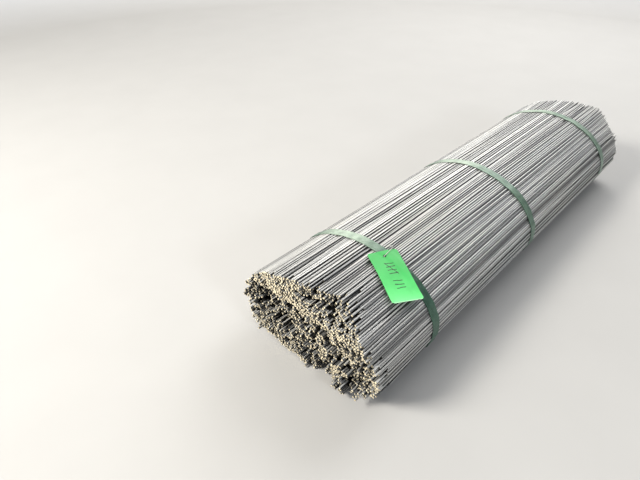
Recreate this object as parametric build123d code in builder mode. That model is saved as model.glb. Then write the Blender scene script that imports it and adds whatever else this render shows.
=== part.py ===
from build123d import *
import math
import os

os.makedirs("parts", exist_ok=True)

# Bundle of straight galvanised rods under three plastic straps, with a tag tied to the near strap.
# X runs along the rods from the near end to the far end, Y across, Z up, with the floor at Z = 0.

# Rods
rod_diameter = 4.0
rod_length = 1036.0
rod_sides = 8
rod_gap = 0.15          # between neighbouring rods of the outer ring
stagger = 30.0          # how far a rod may stand out of line, each way along X
ripple = 2.5            # how far single rods differ from the clump they lie in
clumps = [              # Y and Z of its middle, spread in Y and Z, shift along X of rods that slid together
    (-52, 172, 42, 18, 30),     # lies back under the top, on the -Y side
    (100, 86, 42, 22, 32),      # lies back in the +Y half
    (48, 64, 20, 18, 24),
    (-138, 128, 8, 8, 20),
    (60, 150, 80, 35, -9),      # flush band from the +Y side across the middle
    (-60, 138, 75, 12, -10),
    (-150, 105, 22, 35, -12),
    (158, 72, 16, 45, -14),     # flush rim at the +Y side and the bottom
    (130, 30, 35, 22, -14),
    (60, 6, 60, 10, -6),
    (-85, 12, 34, 16, -28),     # long tips at the bottom
]

# Section of the tied bundle, over the outer rods
bundle_width = 311.0
crown_height = 104.0    # from the widest level up to the top rods
belly_depth = 79.5      # from the widest level down to the bottom rods
crown_power = 1.9       # roundness of the upper half, 2 being an ellipse
belly_power = 2.4       # the lower half is flattened by its own weight
outline_count = 96      # points that the outline's curve runs through

# Inner rods, row by row
row_clearance = 0.3     # between the rows and the outer ring
row_gap = 0.2           # between one row and the next
clump_rods = 7          # rods that stand together along a row
shortest_row = 24.0

# Straps
strap_width = 19.0
strap_thickness = 1.0
strap_slack = 0.5       # between a strap's corners and the rods
strap_facets = 45       # an odd number, so that one of them is flat on the floor
near_strap_inset = 151.5  # from the rods' near end to the strap's middle
middle_strap_shift = 12.0  # from the middle of the rods
far_strap_inset = 104.0   # from the rods' far end
weld_facets = 2         # facets over which the strap's two ends lie on each other
near_weld_start = 31    # facet where each weld starts, counted from the top towards the +Y side
middle_weld_start = 39
far_weld_start = 41

# Tag
tag_length = 100.0
tag_width = 57.0
tag_thickness = 0.5
tag_corner = 5.0
tag_hole = 6.0          # diameter
tag_hole_inset = 11.0   # from the tag's top edge to the hole's centre
tag_bend = 250.0        # radius to which the sheet has bent over the rods
tag_clearance = 0.3     # between the tag and the strap that it lies on
tag_shift = -24.5       # along X, from the near strap's middle to the tag's middle
tag_angle = 120.0       # round the section, from +Y over the top
tag_tilt = 24.0         # of its long side from square across the rods

# Tag tie, a string round the strap and through the tag's hole
tie_diameter = 1.2
tie_sides = 6
tie_route = [           # along X from the near strap's middle, angle round the section, height over the rods
    (10.3, 102.0, 0.9),
    (16.0, 102.0, 1.2),
    (21.0, 103.8, 4.2),
    (15.0, 105.4, 5.0),
    (3.5, 106.0, 4.6),
    (-6.0, 106.4, 4.6),
    (-10.1, 106.4, 3.4),
    (-10.5, 106.4, 0.9),
]
tie_turn_share = 0.45   # share of the shorter run that an arc of the tie takes up

bottom_facet_rise = belly_depth * (1 - math.cos(math.pi / strap_facets) ** (2 / belly_power))
widest_level = belly_depth + strap_thickness + strap_slack - bottom_facet_rise
near_strap_place = near_strap_inset - rod_length / 2
straps = {
    "strap_near": (near_strap_place, near_weld_start),
    "strap_middle": (middle_strap_shift, middle_weld_start),
    "strap_far": (rod_length / 2 - far_strap_inset, far_weld_start),
}
tag_place = near_strap_place + tag_shift


def outline_foot(angle):
    # Point of the outline over the outer rods, and its outward direction, at an angle from +Y over the top.
    side = math.cos(math.radians(angle))
    rise = math.sin(math.radians(angle))
    depth = crown_height if rise >= 0 else belly_depth
    power = crown_power if rise >= 0 else belly_power
    across = math.copysign(abs(side) ** (2 / power), side)
    upward = math.copysign(abs(rise) ** (2 / power), rise)
    slope_y = math.copysign(abs(across) ** (power - 1), across) / (bundle_width / 2)
    slope_z = math.copysign(abs(upward) ** (power - 1), upward) / depth
    foot = Vector(0, across * bundle_width / 2, widest_level + upward * depth)
    return foot, Vector(0, slope_y, slope_z).normalized()


def over_rods(x, angle, height):
    # Point at a height over the outer rods; a negative height lies inside the bundle.
    foot, outward = outline_foot(angle)
    return foot + outward * height + Vector(x, 0, 0)


def section_loop(height, count):
    # Points round the whole section at a height over the outer rods, as Y and Z, from the top.
    loop = [over_rods(0, 90 - 360 * k / count, height) for k in range(count)]
    return [(p.Y, p.Z) for p in loop]


def end_shift(y, z):
    # Shift along X of the rod at a place in the section.
    slid = sum(
        shift * math.exp(-(((y - middle_y) / spread_y) ** 2) - ((z - middle_z) / spread_z) ** 2)
        for middle_y, middle_z, spread_y, spread_z, shift in clumps
    )
    slid += ripple * (math.sin(y * 2.9 + z * 5.3) + math.sin(y / 7 - z / 5))
    return max(-stagger, min(stagger, slid))


# One rod, along X
with BuildPart() as rod:
    with BuildSketch(Plane.YZ):
        RegularPolygon(rod_diameter / 2, rod_sides, major_radius=False)
    extrude(amount=rod_length / 2, both=True)

# Outer ring: one rod beside the next all round the section, its ends staggered
with BuildLine(Plane.YZ) as ring_line:
    Spline(*section_loop(-rod_diameter / 2, outline_count), periodic=True)
ring = ring_line.wires()[0]
ring_count = int(ring.length / (rod_diameter + rod_gap))
ring_places = []
for k in range(ring_count):
    centre = ring.position_at(k / ring_count)
    along = ring.tangent_at(k / ring_count)
    shift = end_shift(centre.Y, centre.Z)
    turn = math.degrees(math.atan2(along.Z, along.Y)) + 180 / rod_sides
    ring_places.append(Location((shift, centre.Y, centre.Z), (turn, 0, 0)))

with BuildPart() as outer_rods:
    with Locations(*ring_places):
        add(rod.part)
outer_rods.part.label = "outer_rods"
export_step(outer_rods.part, "parts/outer_rods.step")

# Inner rods: rows lying in each other's hollows, whose clumps stand out or lie back at the ends
row_pitch = rod_diameter * math.sin(math.radians(60))
row_height = row_pitch - row_gap
core_inset = rod_diameter + row_clearance
core_bottom = widest_level - belly_depth + core_inset
core_top = widest_level + crown_height - core_inset


def half_row(z):
    # Half the width inside the outer ring at a height.
    rise = z - widest_level
    depth, power = (crown_height, crown_power) if rise >= 0 else (belly_depth, belly_power)
    share = min(1, abs(rise) / (depth - core_inset))
    return (bundle_width / 2 - core_inset) * (1 - share ** power) ** (1 / power)


def row_outline(z, half_width, row):
    # Plan of one row: straight sides, and at both ends a step at each clump of rods.
    clump = clump_rods * rod_diameter
    inner = int(2 * half_width / clump)
    first = -half_width + clump * (0.35 + 0.3 * (row % 3))
    cuts = [first + clump * k for k in range(inner + 1) if first + clump * k < half_width - rod_diameter]
    sides = [-half_width] + cuts + [half_width]
    steps = []
    for left, right in zip(sides, sides[1:]):
        shift = end_shift((left + right) / 2, z)
        steps += [(shift, side) for side in (left, right) if (shift, side) not in steps]
    near = [(shift - rod_length / 2, side) for shift, side in steps]
    far = [(shift + rod_length / 2, side) for shift, side in steps]
    return near + far[::-1]


rows = []
row_count = int((core_top - core_bottom) / row_pitch)
for row in range(row_count):
    low = core_bottom + row * row_pitch
    half_width = min(half_row(low), half_row(low + row_height))
    if 2 * half_width < shortest_row:
        continue
    with BuildPart() as row_solid:
        with BuildSketch(Plane.XY.offset(low)):
            with BuildLine():
                Polyline(*row_outline(low, half_width, row), close=True)
            make_face()
        extrude(amount=row_height)
    rows.append(row_solid.part)

with BuildPart() as inner_rods:
    add(rows)
inner_rods.part.label = "inner_rods"
export_step(inner_rods.part, "parts/inner_rods.step")

# Straps: flat bands drawn tight over the rods, their two ends welded on each other
for name, (place, start) in straps.items():
    inside = section_loop(strap_slack, strap_facets)
    outside = section_loop(strap_slack + strap_thickness, strap_facets)
    over = section_loop(strap_slack + 2 * strap_thickness, strap_facets)
    end = start + weld_facets
    with BuildPart() as strap:
        with BuildSketch(Plane.YZ.offset(place - strap_width / 2)):
            with BuildLine():
                Polyline(*outside, close=True)
            make_face()
            with BuildLine():
                Polyline(*inside, close=True)
            make_face(mode=Mode.SUBTRACT)
            with BuildLine():
                Polyline(*(outside + outside)[start:end + 1], *(over + over)[start:end + 1][::-1], close=True)
            make_face()
        extrude(amount=strap_width)
    strap.part.label = name
    export_step(strap.part, f"parts/{name}.step")

# Tag: a sheet bent over the strap, with rounded corners and a punched hole
tag_height = strap_slack + strap_thickness + tag_clearance
_, tag_outward = outline_foot(tag_angle)
tag_middle = over_rods(tag_place, tag_angle, tag_height)
tag_axis = tag_middle - tag_outward * tag_bend
tag_down = Vector(0, -tag_outward.Z, tag_outward.Y)
tag_long = tag_down.rotate(Axis((0, 0, 0), tuple(tag_outward)), -tag_tilt)
tag_plane = Plane(origin=tag_middle, x_dir=tag_long, z_dir=tag_outward)
with BuildPart() as tag:
    with BuildSketch(Plane.YZ.offset(tag_place - tag_length)):
        with Locations((tag_axis.Y, tag_axis.Z)):
            Circle(tag_bend + tag_thickness)
            Circle(tag_bend, mode=Mode.SUBTRACT)
    extrude(amount=2 * tag_length)
    with BuildSketch(tag_plane):
        RectangleRounded(tag_length, tag_width, tag_corner)
        with Locations((tag_hole_inset - tag_length / 2, 0)):
            Circle(tag_hole / 2, mode=Mode.SUBTRACT)
    extrude(amount=tag_width / 2, both=True, mode=Mode.INTERSECT)
tag.part.label = "tag"
export_step(tag.part, "parts/tag.step")


# Tag tie: straight runs joined by tangent arcs
tie_points = [over_rods(near_strap_place + x, angle, height) for x, angle, height in tie_route]
tie_radii = []
for before, here, after in zip(tie_points, tie_points[1:], tie_points[2:]):
    half_turn = math.radians((here - before).get_angle(after - here) / 2)
    shorter = min((here - before).length, (after - here).length)
    tie_radii.append(tie_turn_share * shorter / math.tan(half_turn))
with BuildPart() as tag_tie:
    with BuildLine() as tie_line:
        FilletPolyline(*tie_points, radius=tie_radii)
    with BuildSketch(Plane(origin=tie_line.line @ 0, z_dir=tie_line.line % 0)):
        RegularPolygon(tie_diameter / 2, tie_sides)
    sweep()
tag_tie.part.label = "tag_tie"
export_step(tag_tie.part, "parts/tag_tie.step")

print("rods in the outer ring", ring_count, "and rows inside", len(rows))
print("radii of the tie", [round(radius, 1) for radius in tie_radii])
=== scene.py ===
import bmesh
import bpy
import math
import numpy as np
from mathutils import Matrix, Vector


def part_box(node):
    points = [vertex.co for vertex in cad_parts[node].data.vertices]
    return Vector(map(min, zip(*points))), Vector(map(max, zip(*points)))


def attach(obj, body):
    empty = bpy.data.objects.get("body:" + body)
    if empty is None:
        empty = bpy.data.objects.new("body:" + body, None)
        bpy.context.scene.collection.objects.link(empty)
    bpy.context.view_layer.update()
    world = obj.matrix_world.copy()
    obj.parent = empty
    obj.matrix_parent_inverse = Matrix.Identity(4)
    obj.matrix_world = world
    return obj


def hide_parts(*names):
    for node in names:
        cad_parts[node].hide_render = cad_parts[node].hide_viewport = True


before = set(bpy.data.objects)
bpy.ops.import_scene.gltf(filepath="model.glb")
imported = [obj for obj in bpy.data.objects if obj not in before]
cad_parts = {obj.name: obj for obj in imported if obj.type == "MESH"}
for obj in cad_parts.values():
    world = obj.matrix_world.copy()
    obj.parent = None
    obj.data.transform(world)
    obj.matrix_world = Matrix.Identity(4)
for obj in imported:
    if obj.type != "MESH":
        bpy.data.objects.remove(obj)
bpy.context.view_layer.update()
print("Frame loaded")

scene = bpy.context.scene
rng = np.random.default_rng(88)

# The bundle's section: the curve that the frame's rods follow, but squarer low on the -Y side
section = {
    "crownPower": 1.9,     # squareness over the widest level and under it, 2 being an ellipse
    "bellyPower": 2.4,
    "sagPower": 2.95,      # bellyPower on the -Y side, where the bundle has sagged into a corner
    "bellyDepth": 0.0795,  # from the widest level down to the lowest rods
    "waist": 0.006,        # share by which the bundle narrows under a strap
}
rodLow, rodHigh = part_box("outer_rods")
halfWidth = (rodHigh.y - rodLow.y) / 2
widestLevel = rodLow.z + section["bellyDepth"]
crownHeight = rodHigh.z - widestLevel


def powerAt(y, rise, sag=section["sagPower"]):
    belly = np.where(y < 0, sag, section["bellyPower"])
    return np.where(rise >= 0, section["crownPower"], belly)


def outlineFoot(angle):
    # Point on the section's curve and its outward direction, with 0 degrees at +Y and 90 at the top
    side = math.cos(math.radians(angle))
    rise = math.sin(math.radians(angle))
    depth = crownHeight if rise >= 0 else section["bellyDepth"]
    power = float(powerAt(side, rise))
    across = math.copysign(abs(side) ** (2 / power), side)
    upward = math.copysign(abs(rise) ** (2 / power), rise)
    slopeY = math.copysign(abs(across) ** (power - 1), across) / halfWidth
    slopeZ = math.copysign(abs(upward) ** (power - 1), upward) / depth
    foot = Vector((0, across * halfWidth, widestLevel + upward * depth))
    return foot, Vector((0, slopeY, slopeZ)).normalized()


def overRods(x, angle, height):
    # A point at a height over the outer rods
    foot, outward = outlineFoot(angle)
    return foot + outward * height + Vector((x, 0, 0))


def addObject(name, data):
    added = bpy.data.objects.new(name, data)
    scene.collection.objects.link(added)
    return added


# Rods
rods = {
    "radius": 0.002,
    "length": 1.036,
    "sides": 8,
    "sharpAngle": 50,
    "startArea": (0.34, 0.2),  # width and height of the grid that the rods start from
    "startPitch": 0.00417,
    "startScatter": 0.0009,
    "settleRounds": 90,
    "stationRounds": 14,
    "pairRounds": 8,       # rounds until it is worked out again which rods lie near each other
    "pairReach": 3.2,      # how near that is, in radii
    "give": 0.45,          # share of an overlap by which each of two rods yields in a round
    "stations": [0.0, 0.139, 0.506, 0.899, 1.0],  # shares of the length where a rod may bend
    "strapped": [0.6, 1.0, 1.0, 1.0, 0.6],        # how much of the waist each station has
    "sags": [3.7] + [section["sagPower"]] * 4,    # squareness of the -Y lower corner at each station
    "splay": [0.012, 0.0, 0.0, 0.0, 0.0],         # how far that corner spreads past the near strap
    "wander": 0.0009,      # how far a rod leaves its own line from station to station
    "carry": 0.6,          # share of that which it still has at the next one
    "sway": [(0.0011, 45.0, 4.0), (0.0009, 60.0, -5.0)],  # shared bends: size, waves, phase along the rods
    "swayRise": 0.3,
    "skinDepth": 0.0115,   # rods nearer the outside than this are modelled with all their bends
    "openDepth": 0.009,    # painted shade: below this the rods' sides are left light where they face up instead of outwards
    "sunken": 0.0010,      # how far outer rods lie under the section's curve
    "lowness": (1.1, 1.3),  # how low a rod counts at the widest level, and how fast that falls upwards
    "ledges": 110,         # strips round the bundle that lie more or less deep, low on its sides
    "ledgeDepth": 0.0024,
    "missing": (0.07, 0.18),  # share of outer rods left out, on the crown and low on the sides
    "clumpGain": 1.4,      # how fully a clump or a rough spot counts inside its spread
    "stagger": 0.030,      # furthest that a clump slides
    "groups": 70,          # bunches of rods that slid together
    "groupSlide": (0.0012, 0.0075),  # along the bundle, where the ends are flush and where they are rough
    "jitter": (0.0010, 0.0025),      # the same for single rods
    "clusterRods": 4,      # rods in the small clusters that lie back together
    "hiddenClusters": (0.04, 0.30),  # share of them that lie back between the others, flush and rough
    "hidden": (0.07, 0.33),          # the same for single rods
    "hiddenDepth": (0.004, 0.030),
    "flushDepth": 0.4,     # share of that depth where the ends are flush
    "loners": 0.03,        # share of rods that stand well out of their clump
    "lonerReach": 0.009,
    "mostOut": 0.013,      # furthest that a rod stands out of its clump or lies back in it
    "mostBack": 0.045,
    "farShare": 0.4,       # how much of a rod's own slide shows at its far end, as the rods were cut to fit
    "farReach": 0.007,
    "farLean": 0.009,      # how much further the top rods reach there
    "soiled": 0.34,        # share of rods low on the sides that are dark with dirt
    "soiledTone": 0.06,
    "unshadedTip": (0.003, 0.038),  # least and most of a tip that stands clear of the rods round it, and so gets less painted shade
    "neighbours": 8,
    "backReach": 0.012,    # a rod this far behind its neighbours has the most painted shade on its end
    # painted shade on the end of a rod that lies furthest back
    "backShade": 0.85,
    "unshadedTo": 0.92,       # how squarely a side has to face out or up to escape the painted shade, 1 being squarely
    # how gradually that painted shade darkens
    "shadeFade": 0.54,
    "cutTilt": 0.13,       # slope of the sheared ends
    "burr": 0.0005,
    "burrDepth": 0.00025,
}
clumps = [  # middle in Y and Z, spread in Y and Z, shift along X, in millimetres
    (-52, 172, 42, 18, 30),    # lies back under the top, on the -Y side
    (100, 86, 42, 22, 32),     # lies back in the +Y half
    (48, 64, 20, 18, 24),
    (-138, 128, 8, 8, 20),
    (60, 150, 80, 35, -9),     # flush band from the +Y side across the middle
    (-60, 138, 75, 12, -10),
    (-150, 105, 22, 35, -12),
    (158, 72, 16, 45, -14),    # flush rim at the +Y side and the bottom
    (130, 30, 35, 22, -14),
    (60, 6, 60, 10, -6),
    (-85, 12, 34, 16, -28),    # long tips at the bottom
    (-128, 24, 22, 24, -16),   # and in the squarer corner
]
flushClumps = (4, 5, 7, 8, 9)  # places in that list
roughSpots = [  # middle and spread as above, where single rods end at all depths and dark pockets show
    (105, 75, 45, 22),
    (47, 67, 28, 16),
    (-40, 162, 48, 13),
    (-60, 10, 40, 14),
]


def clumpWeight(clump, y, z):
    middleY, middleZ, spreadY, spreadZ = clump[:4]
    return np.exp(-(((y * 1000 - middleY) / spreadY) ** 2) - ((z * 1000 - middleZ) / spreadZ) ** 2)


def endShift(y, z):
    slid = sum(clumpWeight(c, y, z) * c[4] for c in clumps) / 1000
    return np.clip(slid, -rods["stagger"], rods["stagger"])


def flushness(y, z):
    gain = rods["clumpGain"]
    even = np.clip(sum(clumpWeight(clumps[i], y, z) for i in flushClumps) * gain, 0, 1)
    rough = np.clip(sum(clumpWeight(spot, y, z) for spot in roughSpots) * gain, 0, 1)
    return even * (1 - rough)


def squaredGaps(points, others):
    return ((points[:, None, :] - others[None, :, :]) ** 2).sum(2)


def keepInside(points, room, sag=section["sagPower"]):
    # Draw rods back to the section's curve. Their level is 0 in the middle and 1 on the curve
    rise = points[:, 1] - widestLevel
    power = powerAt(points[:, 0], rise, sag)
    depth = np.where(rise >= 0, crownHeight, section["bellyDepth"]) - rods["radius"]
    level = (np.abs(points[:, 0]) / (halfWidth - rods["radius"])) ** power + (np.abs(rise) / depth) ** power
    level = np.maximum(level, 1e-9) ** (1 / power) / room
    shrink = np.where(level > 1, 1 / level, 1.0)
    return np.column_stack([points[:, 0] * shrink, widestLevel + rise * shrink]), level


def settle(points, rounds, room, sag=section["sagPower"]):
    # Push overlapping rods apart until they lie side by side, each in its share (room) of the section
    for turn in range(rounds):
        if turn % rods["pairRounds"] == 0:
            near = squaredGaps(points, points) < (rods["pairReach"] * rods["radius"]) ** 2
            first, second = np.nonzero(np.triu(near, 1))
        between = points[second] - points[first]
        distance = np.maximum(np.hypot(between[:, 0], between[:, 1]), 1e-6)
        push = np.clip(2 * rods["radius"] - distance, 0, None) * rods["give"]
        move = between / distance[:, None] * push[:, None]
        np.add.at(points, first, -move)
        np.add.at(points, second, move)
        points, level = keepInside(points, room, sag)
    return points, level


def startPoints():
    width, height = rods["startArea"]
    pitch = rods["startPitch"]
    rowPitch = pitch * math.sin(math.radians(60))
    columns = int(width / pitch)
    grid = []  # rows in each other's hollows, every other one half a pitch aside
    for row in range(int(height / rowPitch)):
        for column in range(columns):
            grid.append(((column - columns / 2 + 0.5 * (row % 2)) * pitch, row * rowPitch))
    points = np.array(grid)
    points = points[keepInside(points, 1.0)[1] <= 1]
    return points + rng.normal(0, rods["startScatter"], points.shape)


def lownessOf(points):
    # 0 near the top, 1 from just over the widest level down
    atWidest, fall = rods["lowness"]
    return np.clip(atWidest - fall * (points[:, 1] - widestLevel) / crownHeight, 0, 1)


start = settle(startPoints(), rods["settleRounds"], 1.0)[0]
around = np.arctan2((start[:, 1] - widestLevel) / crownHeight, start[:, 0] / halfWidth)
ledge = ((around / (2 * math.pi) + 0.5) * rods["ledges"]).astype(int) % rods["ledges"]
pressed = rng.random(rods["ledges"])[ledge] * lownessOf(start) * rods["ledgeDepth"]
sunken = 1 - np.abs(rng.normal(0, rods["sunken"] / crownHeight, len(start))) - pressed / crownHeight
start, depthLevel = settle(start, rods["stationRounds"], sunken)
outermost = depthLevel > 1 - rods["radius"] / crownHeight
lowness = lownessOf(start)
crownGaps, sideGaps = rods["missing"]
gapShare = crownGaps + (sideGaps - crownGaps) * lowness
kept = ~(outermost & (rng.random(len(start)) < gapShare))
start, sunken, lowness = start[kept], sunken[kept], lowness[kept]
rodCount = len(start)
print("Rods packed:", rodCount)

# Each rod passes its stations a little off its neighbours' line, as straight stiff rods do
stationPoints = []
outerLevel = np.zeros(rodCount)
drift = np.zeros((rodCount, 2))
minusSide = np.clip(-start[:, 0] / halfWidth, 0, 1)
corner = minusSide ** 2 * np.clip((widestLevel - start[:, 1]) / section["bellyDepth"], 0, 1)
(riseSway, riseWaves, riseTurn), (sideSway, sideWaves, sideTurn) = rods["sway"]
for index, share in enumerate(rods["stations"]):
    drift = drift * rods["carry"] + rng.normal(0, rods["wander"], drift.shape)
    slip = riseSway * np.sin(start[:, 1] * riseWaves + share * riseTurn)
    slip = slip + sideSway * np.sin(start[:, 0] * sideWaves + share * sideTurn)
    moved = start + drift + np.column_stack([slip, slip * rods["swayRise"]])
    moved[:, 0] -= corner * rods["splay"][index]
    waist = section["waist"] * rods["strapped"][index]
    room = 1.0 - waist + section["waist"] / 2  # half the waist narrower than the section under a strap
    placed, level = settle(moved, rods["stationRounds"], room * sunken, rods["sags"][index])
    stationPoints.append(placed)
    outerLevel = np.maximum(outerLevel, level)  # how near the outside a rod comes anywhere
stationPoints = np.stack(stationPoints, axis=1)  # rod, station, (y, z)
skin = outerLevel > 1 - rods["skinDepth"] / crownHeight
openSide = np.clip(1 - (1 - outerLevel) * crownHeight / rods["openDepth"], 0, 1)
print("Rods in the outer layers:", int(skin.sum()))

flush = flushness(start[:, 0], start[:, 1])


def flushOrRough(pair):
    return pair[0] * flush + pair[1] * (1 - flush)


# How far each rod slid along X: in its clump, in its bunch, in its small cluster and by itself
bunches = start[rng.choice(rodCount, rods["groups"], replace=False)]
bunch = np.argmin(squaredGaps(start, bunches), axis=1)
bunchSlide = rng.normal(0, 1, rods["groups"])[bunch]
massShift = endShift(start[:, 0], start[:, 1])
shift = massShift + bunchSlide * flushOrRough(rods["groupSlide"])
shift = shift + rng.normal(0, 1, rodCount) * flushOrRough(rods["jitter"])
clusterMiddles = start[rng.choice(rodCount, rodCount // rods["clusterRods"], replace=False)]
cluster = np.argmin(squaredGaps(start, clusterMiddles), axis=1)
clusterDraw = rng.random(len(clusterMiddles))[cluster]
clusterDepth = rng.uniform(*rods["hiddenDepth"], len(clusterMiddles))[cluster]
depthShare = 1 - (1 - rods["flushDepth"]) * flush
shift = shift + (clusterDraw < flushOrRough(rods["hiddenClusters"])) * clusterDepth * depthShare
hidden = rng.random(rodCount) < flushOrRough(rods["hidden"])
shift = shift + hidden * rng.uniform(*rods["hiddenDepth"], rodCount) * depthShare
loner = rng.random(rodCount) < rods["loners"]
shift = shift + np.where(loner, rng.normal(0, rods["lonerReach"], rodCount), 0)
ownShift = np.clip(shift - massShift, -rods["mostOut"], rods["mostBack"])
shift = massShift + ownShift
topLean = rods["farLean"] * np.clip((start[:, 1] - widestLevel) / crownHeight, 0, 1)
farShift = massShift + ownShift * rods["farShare"] + rods["farReach"] + topLean
rodTone = rng.random(rodCount)
soiled = rng.random(rodCount) < rods["soiled"] * lowness
rodTone = np.where(soiled, rodTone * rods["soiledTone"], rodTone)

nearest = np.argsort(squaredGaps(start, start), axis=1)[:, 1:rods["neighbours"] + 1]
ends = np.column_stack([shift, -farShift])
standsBack = ends - ends[nearest].mean(axis=1)  # how far behind its neighbours a rod ends, near and far
leastTip, mostTip = rods["unshadedTip"]
tipLengths = np.clip(leastTip - standsBack, leastTip, mostTip)
tipsBack = np.clip(standsBack / rods["backReach"], 0, 1)


def rodTemplate(ringCount):
    # One rod by bmesh: a circle drawn out from ring to ring, each cut end with a small burr
    bm = bmesh.new()
    turned = Matrix.Rotation(math.radians(90), 4, "Y")
    bmesh.ops.create_circle(bm, cap_ends=True, segments=rods["sides"], radius=rods["radius"], matrix=turned)
    face = bm.faces[:]
    for ring in range(ringCount - 1):
        drawn = bmesh.ops.extrude_face_region(bm, geom=face)["geom"]
        verts = [g for g in drawn if isinstance(g, bmesh.types.BMVert)]
        bmesh.ops.translate(bm, verts=verts, vec=(1, 0, 0))
        if ring:
            bmesh.ops.delete(bm, geom=[f for f in face if f.is_valid], context="FACES_ONLY")
        face = [g for g in drawn if isinstance(g, bmesh.types.BMFace)]
    bmesh.ops.recalc_face_normals(bm, faces=bm.faces[:])
    caps = [f for f in bm.faces if len(f.verts) == rods["sides"]]
    bmesh.ops.inset_individual(bm, faces=caps, thickness=rods["burr"], depth=rods["burrDepth"])
    bm.verts.index_update()
    rimFrom = rods["radius"] - rods["burr"] / 2
    packedFrom, packedTo = 0.9, ringCount - 1.9  # all but the first and last stretch, the free tips, which get less painted shade
    template = {
        "co": np.array([v.co[:] for v in bm.verts]),
        "faces": [[v.index for v in f.verts] for f in bm.faces],
        "cut": np.array([abs(f.normal.x) > 0.5 for f in bm.faces]),
        # the ends' rims, where painted shade goes
        "rim": np.array([math.hypot(v.co.y, v.co.z) > rimFrom for v in bm.verts], float),
        "packed": np.array([packedFrom < f.calc_center_median().x < packedTo for f in bm.faces]),
    }
    bm.free()
    return template


def ringPlaces(chosen, stations):
    # Where each chosen rod's rings lie: both ends, the start of both free tips, where the painted shade
    # lightens, and the stations between
    share = np.array([rods["stations"][s] for s in stations])
    path = stationPoints[chosen][:, stations, :]
    slides = shift[chosen][:, None] * (1 - share) + farShift[chosen][:, None] * share
    x = (share - 0.5)[None, :] * rods["length"] + slides
    near, far = tipLengths[chosen].T
    nearShare = (near / ((share[1] - share[0]) * rods["length"]))[:, None]
    farShare = (far / ((share[-1] - share[-2]) * rods["length"]))[:, None]
    nearYZ = path[:, 0] + (path[:, 1] - path[:, 0]) * nearShare
    farYZ = path[:, -1] + (path[:, -2] - path[:, -1]) * farShare
    ringX = np.column_stack([x[:, 0], x[:, 0] + near, x[:, 1:-1], x[:, -1] - far, x[:, -1]])
    rings = [path[:, :1], nearYZ[:, None], path[:, 1:-1], farYZ[:, None], path[:, -1:]]
    return ringX, np.concatenate(rings, axis=1)


def outwardOf(points):
    # Direction in which the bundle's surface faces at each rod
    rise = points[:, 1] - widestLevel
    power = powerAt(points[:, 0], rise)
    depth = np.where(rise >= 0, crownHeight, section["bellyDepth"])
    slopeY = np.sign(points[:, 0]) * (np.abs(points[:, 0]) / halfWidth) ** (power - 1) / halfWidth
    slopeZ = np.sign(rise) * (np.abs(rise) / depth) ** (power - 1) / depth
    outward = np.column_stack([slopeY, slopeZ])
    return outward / np.maximum(np.hypot(slopeY, slopeZ), 1e-9)[:, None]


def paintedShadeOf(outward, offY, offZ):
    # Painted shade by how far each side turns away from the open, for a rod among others and for its free
    # tips, whose upper sides stay light too
    facing = (offY * outward[:, :1] + offZ * outward[:, 1:]) / rods["radius"]
    tipFacing = np.maximum(facing, offZ / rods["radius"])
    grime = np.clip((rods["unshadedTo"] - facing) / rods["shadeFade"], 0, 1)
    return grime, np.clip((rods["unshadedTo"] - tipFacing) / rods["shadeFade"], 0, 1)


def rodsMesh(name, verts, template, count):
    # One mesh of all the rods, from the faces of one and the points of all
    sizes = np.array([len(f) for f in template["faces"]])
    corners = np.concatenate(template["faces"])
    firstVerts = np.arange(count) * len(template["co"])
    loops = (corners[None, :] + firstVerts[:, None]).reshape(-1)
    starts = np.concatenate([[0], np.cumsum(np.tile(sizes, count))[:-1]])
    mesh = bpy.data.meshes.new(name)
    mesh.vertices.add(len(verts))
    mesh.vertices.foreach_set("co", verts.astype(np.float32).reshape(-1))
    mesh.loops.add(len(loops))
    mesh.loops.foreach_set("vertex_index", loops.astype(np.int32))
    mesh.polygons.add(len(starts))
    mesh.polygons.foreach_set("loop_start", starts.astype(np.int32))
    mesh.polygons.foreach_set("use_smooth", np.ones(len(starts), bool))
    mesh.polygons.foreach_set("material_index", np.tile(template["cut"], count).astype(np.int32))
    return mesh


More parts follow.
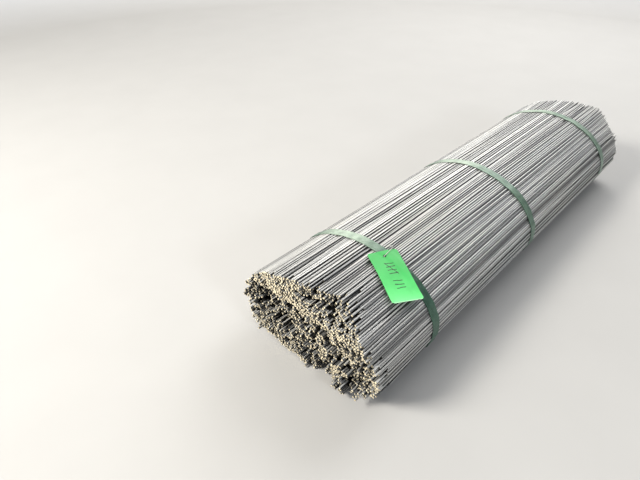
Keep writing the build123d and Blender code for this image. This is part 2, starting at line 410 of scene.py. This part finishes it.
def rodPiece(name, chosen, stations, materials):
    ringX, ringYZ = ringPlaces(chosen, stations)
    template = rodTemplate(ringX.shape[1])
    co = template["co"]
    step = np.rint(co[:, 0]).astype(int)
    extra = co[:, 0] - step
    count = len(chosen)
    roll = rng.random(count)[:, None] * 2 * math.pi
    offY = np.cos(roll) * co[None, :, 1] - np.sin(roll) * co[None, :, 2]
    offZ = np.sin(roll) * co[None, :, 1] + np.cos(roll) * co[None, :, 2]
    tiltY = rng.normal(0, rods["cutTilt"], (count, 2))
    tiltZ = rng.normal(0, rods["cutTilt"], (count, 2))
    atNear = (step == 0)[None, :]
    atFar = (step == step.max())[None, :]
    nearSlant = offY * tiltY[:, :1] + offZ * tiltZ[:, :1]
    farSlant = offY * tiltY[:, 1:] + offZ * tiltZ[:, 1:]
    x = ringX[:, step] + extra[None, :] + (atNear * nearSlant + atFar * farSlant)
    verts = np.stack([x, ringYZ[:, step, 0] + offY, ringYZ[:, step, 1] + offZ], axis=2).reshape(-1, 3)

    # Painted shade: dark on the sides that face into the bundle, all round on the inner rods' packed
    # stretch, round the cut ends' rims and on ends that lie back
    openness = openSide[chosen]
    outward = outwardOf(ringYZ[:, 0]) * openness[:, None]
    outward[:, 1] += 1 - openness
    outward /= np.hypot(outward[:, 0], outward[:, 1])[:, None]
    grime, tipShade = paintedShadeOf(outward, offY, offZ)
    buried = np.maximum(grime, 1 - openness[:, None])
    back = tipsBack[chosen][:, :1] * atNear + tipsBack[chosen][:, 1:] * atFar
    corners = np.concatenate(template["faces"])
    packed = np.repeat(template["packed"], [len(f) for f in template["faces"]])
    paint = {
        ("rodTone", "POINT"): np.repeat(rodTone[chosen], len(co)),
        ("rim", "POINT"): np.maximum(template["rim"][None, :], rods["backShade"] * back),
        ("grime", "CORNER"): np.where(packed[None, :], buried[:, corners], tipShade[:, corners]),
    }
    mesh = rodsMesh(name, verts, template, count)
    for (label, domain), values in paint.items():
        layer = mesh.attributes.new(label, "FLOAT", domain)
        layer.data.foreach_set("value", values.astype(np.float32).reshape(-1))
    mesh.update(calc_edges=True)
    mesh.validate()
    mesh.set_sharp_from_angle(angle=math.radians(rods["sharpAngle"]))
    for material in materials:
        mesh.materials.append(material)
    return addObject(name, mesh)


# Materials
def newMaterial(name):
    material = bpy.data.materials.new(name)
    material.use_nodes = True
    tree = material.node_tree
    return material, tree, tree.nodes["Principled BSDF"]


def setInputs(tree, node, inputs):
    for key, value in inputs.items():
        if isinstance(value, bpy.types.NodeSocket):
            tree.links.new(value, node.inputs[key])
        else:
            node.inputs[key].default_value = value


def addNode(tree, kind, inputs=None, **settings):
    node = tree.nodes.new(kind)
    for key, value in settings.items():
        setattr(node, key, value)
    setInputs(tree, node, inputs or {})
    return node


def attribute(tree, name):
    return addNode(tree, "ShaderNodeAttribute", attribute_name=name).outputs["Fac"]


def objectPlace(tree):
    return addNode(tree, "ShaderNodeTexCoord").outputs["Object"]


def maths(tree, operation, *values):
    return addNode(tree, "ShaderNodeMath", dict(enumerate(values)), operation=operation).outputs["Value"]


def mapRange(tree, value, low, high, fromLow=0.0, fromHigh=1.0):
    return addNode(tree, "ShaderNodeMapRange", {
        "Value": value, "From Min": fromLow, "From Max": fromHigh, "To Min": low, "To Max": high,
    }).outputs["Result"]


def noise(tree, place, scale, detail, roughness=0.5):
    return addNode(tree, "ShaderNodeTexNoise", {
        "Vector": place, "Scale": scale, "Detail": detail, "Roughness": roughness}).outputs["Fac"]


def grain(tree, scale, detail=3.0, roughness=0.55):
    # Noise over a piece at one scale, or at three that draw it out along the smallest
    if isinstance(scale, tuple):
        mapping = addNode(tree, "ShaderNodeMapping", {"Vector": objectPlace(tree), "Scale": scale})
        return noise(tree, mapping.outputs["Vector"], 1.0, detail, roughness)
    return noise(tree, objectPlace(tree), scale, detail, roughness)


def ramp(tree, factor, stops):
    node = addNode(tree, "ShaderNodeValToRGB", {"Fac": factor})
    elements = node.color_ramp.elements
    for element, (position, colour) in zip(elements, (stops[0], stops[-1])):
        element.position = position
        element.color = (*colour, 1)
    for position, colour in stops[1:-1]:
        elements.new(position).color = (*colour, 1)
    return node.outputs["Color"]


def mixColour(tree, factor, first, second, blend="MIX"):
    sockets = {0: factor, 6: first, 7: second}
    return addNode(tree, "ShaderNodeMix", sockets, data_type="RGBA", blend_type=blend).outputs[2]


def tinted(tree, colour, tint):
    return mixColour(tree, 1.0, colour, tint, "MULTIPLY")


def bump(tree, height, strength, distance=0.0002):
    return addNode(tree, "ShaderNodeBump", {
        "Height": height, "Strength": strength, "Distance": distance}).outputs["Normal"]


gapDark = (0.04, 0.04, 0.042)  # painted shade: what is left of a colour on the sides that face into the bundle, and round the cut ends
zinc = {
    "tones": [             # the rods' colours, from the soiled ones to the brightest
        (0.0, (0.12, 0.125, 0.13)), (0.06, (0.28, 0.285, 0.29)), (0.2, (0.46, 0.465, 0.465)),
        (0.45, (0.58, 0.585, 0.58)), (0.75, (0.58, 0.585, 0.58)), (1.0, (0.84, 0.84, 0.83)),
    ],
    "streaks": [(0.35, (0.72, 0.73, 0.74)), (0.65, (1.12, 1.11, 1.08))],
    "streakScale": (6, 500, 500),
    "dust": (0.60, 0.57, 0.50),
    "dustPatches": [(0.45, (0, 0, 0)), (0.75, (0.35, 0.35, 0.35))],
    "patchScale": (3, 9, 9),
    # painted shade: the sides that face into the bundle go dark
    "grime": [(0.0, (1, 1, 1)), (0.3, (0.82, 0.82, 0.83)), (0.7, (0.3, 0.3, 0.31)), (1.0, gapDark)],
    "metallic": 0.45,
    "polish": (0.26, 0.5),  # roughness of the smoothest rods and of the dullest
    "polishTurns": 7.3,    # runs through that range over the tones, so that it doesn't follow them
    "streakRoughness": 0.56,
    "fineScale": (60, 1400, 1400),
    "bump": 0.25,
}
shear = {
    "worn": [(0.3, (0.62, 0.535, 0.38)), (0.55, (0.96, 0.885, 0.70))],
    "shades": [(0.0, (0.84, 0.81, 0.76)), (1.0, (1.15, 1.12, 1.05))],
    # painted shade round the rims of the cut ends and on ends that lie behind their neighbours
    "rim": [(0.12, (1, 1, 1)), (0.65, gapDark)],
    "grainScale": 900.0,
    "roughness": 0.6,
    "metallic": 0.15,
    "bump": 0.4,
}


def zincMaterial():
    material, tree, shader = newMaterial("galvanisedZinc")
    tone = attribute(tree, "rodTone")
    streak = grain(tree, zinc["streakScale"], detail=4.0)
    body = tinted(tree, ramp(tree, tone, zinc["tones"]), ramp(tree, streak, zinc["streaks"]))
    dusty = ramp(tree, grain(tree, zinc["patchScale"]), zinc["dustPatches"])
    colour = mixColour(tree, dusty, body, (*zinc["dust"], 1))
    # painted shade, darker on the sides that face into the bundle
    colour = tinted(tree, colour, ramp(tree, attribute(tree, "grime"), zinc["grime"]))
    drawn = maths(tree, "FRACT", maths(tree, "MULTIPLY", tone, zinc["polishTurns"]))
    polish = mapRange(tree, drawn, *zinc["polish"])
    fine = grain(tree, zinc["fineScale"], detail=2.0)
    setInputs(tree, shader, {
        "Base Color": colour,
        "Roughness": mapRange(tree, streak, polish, zinc["streakRoughness"]),
        "Metallic": zinc["metallic"],
        "Normal": bump(tree, fine, zinc["bump"]),
    })
    return material


def cutMaterial():
    material, tree, shader = newMaterial("shearedEnd")
    rough = grain(tree, shear["grainScale"])
    shade = ramp(tree, attribute(tree, "rodTone"), shear["shades"])
    colour = tinted(tree, ramp(tree, rough, shear["worn"]), shade)
    setInputs(tree, shader, {
        # painted shade on the ends' rims and on ends that lie back
        "Base Color": tinted(tree, colour, ramp(tree, attribute(tree, "rim"), shear["rim"])),
        "Roughness": shear["roughness"],
        "Metallic": shear["metallic"],
        "Normal": bump(tree, rough, shear["bump"]),
    })
    return material


rodMaterials = [zincMaterial(), cutMaterial()]
everyStation = list(range(len(rods["stations"])))
bothEnds = [everyStation[0], everyStation[-1]]
low = start[:, 1] < widestLevel
rodPieces = {  # node, rods and stations; the inner rods run straight, in two pieces to keep each small
    "outerRods": ("outer_rods", skin, everyStation),
    "innerRodsUpper": ("inner_rods", ~skin & ~low, bothEnds),
    "innerRodsLower": ("inner_rods", ~skin & low, bothEnds),
}
for name, (node, chosen, stations) in rodPieces.items():
    piece = rodPiece(name, np.nonzero(chosen)[0], stations, rodMaterials)
    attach(piece, "root")
    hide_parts(node)
    print("Rods modelled:", name, int(chosen.sum()), "with faces", len(piece.data.polygons))

# Straps
strap = {
    "thickness": 0.0009,
    "clearance": 0.00005,
    "pointSpacing": 0.0035,
    "overlap": 0.062,
    "climb": 0.012,        # stretch in which the top end rises onto the first layer
    "weldGap": 0.00004,
    "turnReach": 0.004,    # how far before and behind a point the band's direction is read
    "hullSides": 24,       # sides of the circle that each rod is to the band
    "widthSteps": 6,
    "sharpAngle": 40,
    "dustAndSheenSide": (0.26, 0.966),  # Y and Z of the direction from which the bands are dusty and carry a painted sheen
    "dustAndSheenEdges": (0.91, 1.0),   # how squarely a side faces it where the dust and painted sheen begin and where they are full
}
straps = {  # node, angle where the lower end lies, bleaching all round, slope from square across the rods
    "strapNear": ("strap_near", 196.0, 0.0, 0.0),
    "strapMiddle": ("strap_middle", 127.0, 0.22, 0.06),
    "strapFar": ("strap_far", 106.0, 0.42, 0.03),
}


def cross(a, b, c):
    return (b[0] - a[0]) * (c[1] - a[1]) - (b[1] - a[1]) * (c[0] - a[0])


def hullSide(ordered):
    line = []
    for p in ordered:
        while len(line) > 1 and cross(line[-2], line[-1], p) <= 0:
            line.pop()
        line.append(p)
    return line[:-1]


def hullAt(x):
    # Outline of the outer rods at one place along the bundle, drawn tight as a taut band lies
    share = (x - shift) / rods["length"] + 0.5
    points = []
    for index in np.nonzero(skin)[0]:
        y = np.interp(share[index], rods["stations"], stationPoints[index, :, 0])
        z = np.interp(share[index], rods["stations"], stationPoints[index, :, 1])
        points.append((y, z))
    angles = np.linspace(0, 2 * math.pi, strap["hullSides"], endpoint=False)
    circle = np.column_stack([np.cos(angles), np.sin(angles)]) * rods["radius"]
    cloud = sorted(map(tuple, (np.array(points)[:, None, :] + circle[None, :, :]).reshape(-1, 2)))
    return np.array(hullSide(cloud) + hullSide(cloud[::-1]))


def strapLine(x, weldAngle):
    # The band's inner line, its outward directions and the distance along it, from its lower end
    hull = hullAt(x)
    closed = np.vstack([hull, hull[:1]])
    run = np.concatenate([[0], np.cumsum(np.hypot(*np.diff(closed, axis=0).T))])
    total = run[-1]

    def onHull(at):
        return np.column_stack([np.interp(at % total, run, closed[:, axis]) for axis in (0, 1)])

    foot = outlineFoot(weldAngle)[0]
    begin = run[np.argmin(np.hypot(hull[:, 0] - foot.y, hull[:, 1] - foot.z))]
    length = total + strap["overlap"]
    along = np.linspace(0, length, int(length / strap["pointSpacing"]))
    at = (begin + along) % total
    tangent = onHull(at + strap["turnReach"]) - onHull(at - strap["turnReach"])
    tangent /= np.hypot(*tangent.T)[:, None]
    outward = np.column_stack([tangent[:, 1], -tangent[:, 0]])
    second = np.clip((along - total + strap["climb"]) / strap["climb"], 0, 1)
    lift = strap["clearance"] + second * (strap["thickness"] + strap["weldGap"])
    return onHull(at) + outward * lift[:, None], outward, along


def thicken(bm, sample, outward, thickness):
    # A thin sheet's wall, built outwards, where outward is the way the sample face should look
    bmesh.ops.recalc_face_normals(bm, faces=bm.faces[:])
    if sample.normal.dot(outward) < 0:
        bmesh.ops.reverse_faces(bm, faces=bm.faces[:])
    bmesh.ops.solidify(bm, geom=bm.faces[:], thickness=-thickness)
    bmesh.ops.recalc_face_normals(bm, faces=bm.faces[:])
    for face in bm.faces:
        face.smooth = True


def sheetMesh(bm, name, sharpAngle, material):
    mesh = bpy.data.meshes.new(name)
    bm.to_mesh(mesh)
    bm.free()
    mesh.set_sharp_from_angle(angle=math.radians(sharpAngle))
    mesh.materials.append(material)
    return mesh


def strapPiece(name, node, weldAngle, bleached, skew, material):
    low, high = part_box(node)
    middle = (low.x + high.x) / 2
    line, outward, along = strapLine(middle, weldAngle)
    bm = bmesh.new()
    runLayer = bm.verts.layers.float.new("strapRun")
    dustAndSheenLayer = bm.verts.layers.float.new("strapDustAndSheen")
    row = []
    for point, distance, facing in zip(line, along, outward):
        vert = bm.verts.new((low.x + point[0] * skew, *point))
        vert[runLayer] = distance
        # dust and painted sheen where the band faces up and back, never less than the strap's even dust
        dust = np.interp(facing.dot(strap["dustAndSheenSide"]), strap["dustAndSheenEdges"], (0, 1))
        vert[dustAndSheenLayer] = max(dust, bleached)
        row.append(vert)
    edges = [bm.edges.new(pair) for pair in zip(row, row[1:])]
    for step in range(strap["widthSteps"]):
        drawn = bmesh.ops.extrude_edge_only(bm, edges=edges)["geom"]
        fresh = [g for g in drawn if isinstance(g, bmesh.types.BMVert)]
        edges = [g for g in drawn if isinstance(g, bmesh.types.BMEdge)]
        bmesh.ops.translate(bm, verts=fresh, vec=((high.x - low.x) / strap["widthSteps"], 0, 0))
    sample = bm.faces[:][len(bm.faces) // 2]
    fromAxis = sample.calc_center_median() - Vector((middle, 0, widestLevel))
    thicken(bm, sample, fromAxis, strap["thickness"])
    uv = bm.loops.layers.uv.new("strapUV")
    for face in bm.faces:
        for loop in face.loops:
            offset = loop.vert.co.x - low.x - loop.vert.co.y * skew
            loop[uv].uv = (loop.vert[runLayer], offset)
    return addObject(name, sheetMesh(bm, name, strap["sharpAngle"], material))


strapPlastic = {
    "tint": [(0.35, (0.032, 0.080, 0.052)), (0.7, (0.072, 0.150, 0.105))],
    # pale dust, which on the bands' upper back side also stands for a painted sheen
    "dust": (0.54, 0.64, 0.53),
    "patches": (0.35, 0.85),  # how much of the dust the cleanest and the dustiest patches have
    "patchEdges": (0.3, 0.7),
    "scuffScale": 90.0,
    "waffleScale": 620.0,
    "waffleTurn": 45.0,    # degrees
    "roughness": (0.24, 0.45),
    "gloss": (0.74, 1.0, 0.85),
    "ior": 1.6,
    "body": 0.90,          # how much of the rods below the thin band hides
    "bump": 0.35,
}


def strapMaterial():
    material, tree, shader = newMaterial("strapGreen")
    uv = addNode(tree, "ShaderNodeUVMap", uv_map="strapUV").outputs["UV"]
    turned = addNode(tree, "ShaderNodeMapping", {
        "Vector": uv, "Rotation": (0, 0, math.radians(strapPlastic["waffleTurn"]))})
    waffle = addNode(tree, "ShaderNodeTexChecker", {
        "Vector": turned.outputs["Vector"], "Scale": strapPlastic["waffleScale"]}).outputs["Fac"]
    scuff = noise(tree, uv, strapPlastic["scuffScale"], detail=5.0, roughness=0.6)
    patchy = mapRange(tree, scuff, *strapPlastic["patches"], *strapPlastic["patchEdges"])
    # dust and painted sheen mixed in where the band faces up and back
    dusty = maths(tree, "MULTIPLY", attribute(tree, "strapDustAndSheen"), patchy)
    tint = ramp(tree, scuff, strapPlastic["tint"])
    setInputs(tree, shader, {
        "Base Color": mixColour(tree, dusty, tint, (*strapPlastic["dust"], 1)),
        "Roughness": mapRange(tree, scuff, *strapPlastic["roughness"]),
        "Alpha": strapPlastic["body"],
        "IOR": strapPlastic["ior"],
        "Specular Tint": (*strapPlastic["gloss"], 1),
        "Normal": bump(tree, waffle, strapPlastic["bump"]),
    })
    return material


strapGreen = strapMaterial()
for name, (node, weldAngle, bleached, skew) in straps.items():
    piece = strapPiece(name, node, weldAngle, bleached, skew, strapGreen)
    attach(piece, "root")
    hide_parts(node)
print("Straps drawn round the rods")

# Tag
tag = {
    "length": 0.100,
    "width": 0.057,
    "thickness": 0.0004,
    "corner": 0.005,
    "hole": 0.003,         # radius
    "holeInset": 0.011,
    "holeCut": 0.85,       # faces nearer the hole's middle than this are cut out, in its radii
    "holeReach": 2.0,      # open edges nearer than this are drawn onto its rim
    "bend": 0.250,         # radius, round the bundle
    "height": 0.0018,      # over the rods at its middle
    "shift": -0.0245,      # along X, from the near strap's middle
    "angle": 120.0,
    "tilt": 24.0,
    "flare": 0.0060,       # widening towards the bottom, on the side away from the near end
    "flarePower": 1.5,
    "curl": 0.0042,        # how far the bottom edge lifts
    "curlPower": 5,
    "plainTo": 0.35,       # share of the length, from the top, without flare and curl
    "ridge": 0.0008,       # how far the sheet rises where it rides over the strap
    "ridgeHalf": 0.0105,   # half that ridge's width
    "ridgePower": 4,       # how steep its sides are
    "steps": (54, 30),
    "sharpAngle": 40,
}
nearLow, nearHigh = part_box("strap_near")
nearStrap = (nearLow.x + nearHigh.x) / 2
tagOutward = outlineFoot(tag["angle"])[1]
tagMiddle = overRods(nearStrap + tag["shift"], tag["angle"], tag["height"])
tagDown = Vector((0, -tagOutward.z, tagOutward.y))
tagDown.rotate(Matrix.Rotation(math.radians(-tag["tilt"]), 3, tagOutward))
tagAcross = tagOutward.cross(tagDown)
tagAxis = tagMiddle - tagOutward * tag["bend"]


def onTag(down, across, lift=0.0):
    # Place on the bent sheet, from how far down and across it a point lies
    flatPoint = tagMiddle + tagDown * down + tagAcross * across
    arm = Vector((0, flatPoint.y - tagAxis.y, flatPoint.z - tagAxis.z))
    half = arm.dot(tagOutward)
    drop = -half + math.sqrt(half * half - arm.length_squared + (tag["bend"] + lift) ** 2)
    return flatPoint + tagOutward * drop


def restedOnTag(down, across):
    # The same with the sheet's own bends: its flared and curled bottom and the ridge over the strap
    low = min(max((down / tag["length"] + 0.5 - tag["plainTo"]) / (1 - tag["plainTo"]), 0), 1)
    side = across / tag["width"] + 0.5
    across += tag["flare"] * low ** tag["flarePower"] * side
    aside = (onTag(down, across).x - nearStrap) / tag["ridgeHalf"]
    overStrap = math.exp(-(aside ** tag["ridgePower"]))
    return onTag(down, across, tag["curl"] * low ** tag["curlPower"] + tag["ridge"] * overStrap)


def roundCorners(bm):
    # Squeeze each corner's square of the grid into a quarter circle
    squareX = tag["length"] / 2 - tag["corner"]
    squareY = tag["width"] / 2 - tag["corner"]
    for vert in bm.verts:
        overX = abs(vert.co.x) - squareX
        overY = abs(vert.co.y) - squareY
        if overX > 0 and overY > 0:
            turned = max(overX, overY) / math.hypot(overX, overY)
            vert.co.x = math.copysign(squareX + overX * turned, vert.co.x)
            vert.co.y = math.copysign(squareY + overY * turned, vert.co.y)


def punchHole(bm):
    centre = Vector((tag["holeInset"] - tag["length"] / 2, 0, 0))
    cutOut = tag["hole"] * tag["holeCut"]
    gone = [f for f in bm.faces if (f.calc_center_median() - centre).length < cutOut]
    bmesh.ops.delete(bm, geom=gone, context="FACES")
    for vert in bm.verts:
        if vert.is_boundary and (vert.co - centre).length < tag["hole"] * tag["holeReach"]:
            vert.co = centre + (vert.co - centre).normalized() * tag["hole"]


def tagPiece(material):
    length, width = tag["length"], tag["width"]
    stepsDown, stepsAcross = tag["steps"]
    bm = bmesh.new()
    stretch = Matrix.Diagonal((length / 2, width / 2, 1, 1))
    bmesh.ops.create_grid(bm, x_segments=stepsDown, y_segments=stepsAcross, size=1, matrix=stretch)
    roundCorners(bm)
    punchHole(bm)
    uv = bm.loops.layers.uv.new("tagUV")
    for face in bm.faces:
        for loop in face.loops:
            loop[uv].uv = (loop.vert.co.x + length / 2, loop.vert.co.y + width / 2)
    for vert in bm.verts:
        vert.co = restedOnTag(vert.co.x, vert.co.y)
    thicken(bm, bm.faces[:][0], tagOutward, tag["thickness"])
    return addObject("tagSheet", sheetMesh(bm, "tag", tag["sharpAngle"], material))


tagPlastic = {
    "tones": [             # painted light, from the darker top of the tag down to a painted highlight on its bottom edge
        (0.0, (0.040, 0.42, 0.085)), (0.5, (0.060, 0.56, 0.12)),
        (0.98, (0.15, 0.88, 0.24)), (1.0, (0.50, 0.95, 0.55)),
    ],
    "mottle": [(0.3, (0.86, 0.88, 0.86)), (0.7, (1.08, 1.04, 1.08))],
    "mottleScale": 35.0,
    "fibreScale": 900.0,
    "roughness": 0.48,
    "bump": 0.12,
}
pen = {
    "ink": (0.012, 0.03, 0.018),
    "width": 0.0014,
    "half": 0.0085,        # half a stroke's length
    "middle": 0.0285,      # how far across the tag the strokes' middles lie
    "wobble": 0.0022,
    "wobbleScale": 110.0,
    "strokes": [           # how far down the tag, and slope
        (0.027, 0.10), (0.0335, 0.02), (0.040, 0.08), (0.0465, -0.03), (0.037, 1.45),
        (0.061, 0.05), (0.068, 0.10), (0.0745, 0.0),
    ],
}


def penMask(tree, uv):
    # Tally strokes: each is the narrow strip round a line across the tag
    shake = noise(tree, uv, pen["wobbleScale"], detail=1.0)
    split = addNode(tree, "ShaderNodeSeparateXYZ", {"Vector": uv})
    moved = maths(tree, "MULTIPLY_ADD", shake, pen["wobble"], split.outputs["X"])
    aside = maths(tree, "SUBTRACT", split.outputs["Y"], pen["middle"])
    within = maths(tree, "LESS_THAN", maths(tree, "ABSOLUTE", aside), pen["half"])
    mask = None
    for down, slope in pen["strokes"]:
        line = maths(tree, "MULTIPLY_ADD", aside, slope, down + pen["wobble"] / 2)
        away = maths(tree, "ABSOLUTE", maths(tree, "SUBTRACT", moved, line))
        inked = maths(tree, "LESS_THAN", away, pen["width"] / 2 * math.hypot(1, slope))
        mask = inked if mask is None else maths(tree, "MAXIMUM", mask, inked)
    return maths(tree, "MULTIPLY", mask, within)


def tagMaterial():
    material, tree, shader = newMaterial("tagGreen")
    uv = addNode(tree, "ShaderNodeUVMap", uv_map="tagUV").outputs["UV"]
    down = addNode(tree, "ShaderNodeSeparateXYZ", {"Vector": uv}).outputs["X"]
    # painted shade and light down the tag, with a painted highlight along its bottom edge
    paintedShadeAndHighlight = ramp(tree, mapRange(tree, down, 0.0, 1.0, fromHigh=tag["length"]), tagPlastic["tones"])
    patches = noise(tree, uv, tagPlastic["mottleScale"], detail=4.0, roughness=0.6)
    mottle = ramp(tree, patches, tagPlastic["mottle"])
    colour = mixColour(tree, penMask(tree, uv), tinted(tree, paintedShadeAndHighlight, mottle), (*pen["ink"], 1))
    fibre = noise(tree, uv, tagPlastic["fibreScale"], detail=2.0)
    setInputs(tree, shader, {
        "Base Color": colour,
        "Roughness": tagPlastic["roughness"],
        "Normal": bump(tree, fibre, tagPlastic["bump"]),
    })
    return material


tagSheet = tagPiece(tagMaterial())
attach(tagSheet, "root")
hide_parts("tag")
print("Tag laid on the near strap")

# Tag tie
tie = {
    "diameter": 0.0012,
    "strands": 2,
    "twist": 0.0032,       # length of one whole turn
    "pointSpacing": 0.0003,
    "route": [             # mm along X from the near strap's middle, degrees, mm over the rods
        (10.3, 102.0, 0.9),
        (16.0, 102.0, 1.2),
        (21.0, 103.8, 4.2),
        (15.0, 105.4, 5.0),
        (3.5, 106.0, 4.6),
        (-6.0, 106.4, 4.6),
        (-10.1, 106.4, 3.4),
        (-10.5, 106.4, 0.9),
    ],
    "tones": [(0.3, (0.55, 0.56, 0.52)), (0.7, (0.82, 0.83, 0.80))],
    "fibreScale": 2500.0,
    "roughness": 0.8,
    "bump": 0.6,
    "bumpDepth": 0.0003,
}


def meshOf(curve):
    holder = addObject("tieHolder", curve)
    bpy.context.view_layer.update()
    drawn = holder.evaluated_get(bpy.context.evaluated_depsgraph_get())
    mesh = bpy.data.meshes.new_from_object(drawn)
    bpy.data.objects.remove(holder)
    return mesh


def tieRoute():
    # The string's middle line as evenly spaced points
    curve = bpy.data.curves.new("tieRoute", "CURVE")
    curve.dimensions = "3D"
    curve.resolution_u = 16
    spline = curve.splines.new("NURBS")
    spline.points.add(len(tie["route"]) - 1)
    for point, (x, angle, height) in zip(spline.points, tie["route"]):
        point.co = (*overRods(nearStrap + x / 1000, angle, height / 1000), 1)
    spline.order_u = 3
    spline.use_endpoint_u = True
    line = np.array([v.co[:] for v in meshOf(curve).vertices])
    run = np.concatenate([[0], np.cumsum(np.linalg.norm(np.diff(line, axis=0), axis=1))])
    even = np.linspace(0, run[-1], int(run[-1] / tie["pointSpacing"]))
    return np.column_stack([np.interp(even, run, line[:, axis]) for axis in range(3)]), even


def tiePiece(material):
    line, run = tieRoute()
    along = np.gradient(line, axis=0)
    along /= np.linalg.norm(along, axis=1)[:, None]
    side = np.zeros_like(line)
    side[0] = np.cross(along[0], (0, 0, 1.0))
    for index in range(1, len(line)):  # carry the side along the line without twisting it
        side[index] = side[index - 1] - along[index] * side[index - 1].dot(along[index])
    side /= np.linalg.norm(side, axis=1)[:, None]
    other = np.cross(along, side)
    strandRadius = tie["diameter"] / 4
    curve = bpy.data.curves.new("tieStrands", "CURVE")
    curve.dimensions = "3D"
    for strand in range(tie["strands"]):
        turn = 2 * math.pi * (run / tie["twist"] + strand / tie["strands"])
        offset = np.cos(turn)[:, None] * side + np.sin(turn)[:, None] * other
        points = np.column_stack([line + offset * strandRadius, np.ones(len(line))])
        spline = curve.splines.new("POLY")
        spline.points.add(len(line) - 1)
        spline.points.foreach_set("co", points.reshape(-1))
    curve.bevel_depth = strandRadius
    curve.bevel_resolution = 2
    curve.use_fill_caps = True
    mesh = meshOf(curve)
    mesh.name = "tagTie"
    mesh.materials.clear()
    mesh.materials.append(material)
    for polygon in mesh.polygons:
        polygon.use_smooth = True
    return addObject("tagTie", mesh)


def stringMaterial():
    material, tree, shader = newMaterial("whiteString")
    fibre = noise(tree, objectPlace(tree), tie["fibreScale"], detail=3.0)
    setInputs(tree, shader, {
        "Base Color": ramp(tree, fibre, tie["tones"]),
        "Roughness": tie["roughness"],
        "Normal": bump(tree, fibre, tie["bump"], tie["bumpDepth"]),
    })
    return material


tagTie = tiePiece(stringMaterial())
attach(tagTie, "root")
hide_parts("tag_tie")
print("Tag tied")

# Floor, light and background
stageSettings = {
    "floor": [(0.3, (0.485, 0.48015, 0.47239)), (0.7, (0.50, 0.495, 0.487))],
    "floorSize": 30.0,
    "floorGrain": 6.0,
    "floorRoughness": 0.85,
    "ambient": 0.215,
    "background": 0.95,
    "sky": (0.93, 0.96, 1.0),
    "glowStrength": 0.78,
    "glow": (2.6, 5.0),    # distances between which the floor brightens to meet the background
    "aim": (0, 0, 0.1),    # the bundle's middle, which all lights face
}
lights = {  # energy, width and height, place, colour
    "backPanel": (168, (5.2, 3.4), (3.5, 4.2, 2.3), (1.0, 0.965, 0.90)),
    "topPanel": (70, (2.0, 2.0), (2.3, 0.3, 2.3), (1.0, 0.99, 0.97)),
    "frontPanel": (138, (0.9, 0.9), (-2.4, 1.3, 2.0), (1.0, 0.96, 0.88)),
    "sidePanel": (26, (0.6, 0.4), (-0.9, -2.6, 1.5), (0.92, 0.96, 1.0)),
}


def floorMaterial():
    material, tree, shader = newMaterial("paleFloor")
    away = addNode(tree, "ShaderNodeVectorMath", {0: objectPlace(tree)}, operation="LENGTH")
    glow = mapRange(tree, away.outputs["Value"], 0.0, stageSettings["glowStrength"], *stageSettings["glow"])
    setInputs(tree, shader, {
        "Base Color": ramp(tree, grain(tree, stageSettings["floorGrain"]), stageSettings["floor"]),
        "Roughness": stageSettings["floorRoughness"],
        "Emission Color": (*stageSettings["sky"], 1),
        "Emission Strength": glow,
    })
    return material


def floorPiece():
    bm = bmesh.new()
    bmesh.ops.create_grid(bm, x_segments=1, y_segments=1, size=stageSettings["floorSize"] / 2)
    mesh = bpy.data.meshes.new("floor")
    bm.to_mesh(mesh)
    bm.free()
    mesh.materials.append(floorMaterial())
    return addObject("floor", mesh)


floorPiece()


def areaLight(name, energy, size, place, colour):
    data = bpy.data.lights.new(name, "AREA")
    data.shape = "RECTANGLE"
    data.energy = energy
    data.size, data.size_y = size
    data.color = colour
    light = addObject(name, data)
    light.location = place
    toAim = Vector(stageSettings["aim"]) - Vector(place)
    light.rotation_euler = toAim.to_track_quat("-Z", "Y").to_euler()


for name, values in lights.items():
    areaLight(name, *values)

world = bpy.data.worlds.new("softWorld")
scene.world = world
world.use_nodes = True
worldTree = world.node_tree
seen = addNode(worldTree, "ShaderNodeLightPath").outputs["Is Camera Ray"]
setInputs(worldTree, worldTree.nodes["Background"], {
    "Color": (*stageSettings["sky"], 1),
    "Strength": mapRange(worldTree, seen, stageSettings["ambient"], stageSettings["background"]),
})

# Camera at the photograph's angle
cameraSettings = {
    "place": (-0.9157, -0.4029, 0.6994),
    "heading": 43.323,  # degrees from +X towards +Y
    "down": 37.030,
    "roll": 0.35,
    "focal": 492.28,    # in pixels of a frame 640 wide
    "frameWidth": 640,
    "sensorWidth": 36.0,
}


def makeCamera():
    data = bpy.data.cameras.new("camera")
    data.sensor_width = cameraSettings["sensorWidth"]
    data.lens = cameraSettings["focal"] / cameraSettings["frameWidth"] * data.sensor_width
    heading, down, roll = (math.radians(cameraSettings[k]) for k in ("heading", "down", "roll"))
    level = math.cos(down)
    forward = Vector((level * math.cos(heading), level * math.sin(heading), -math.sin(down)))
    right = forward.cross(Vector((0, 0, 1))).normalized()
    up = right.cross(forward)
    rolledRight = right * math.cos(roll) + up * math.sin(roll)
    rolledUp = up * math.cos(roll) - right * math.sin(roll)
    turn = Matrix((rolledRight, rolledUp, -forward)).transposed().to_4x4()
    camera = addObject("camera", data)
    camera.matrix_world = Matrix.Translation(cameraSettings["place"]) @ turn
    return camera


scene.camera = makeCamera()
scene.view_settings.view_transform = "Standard"
print("Stage and camera set")
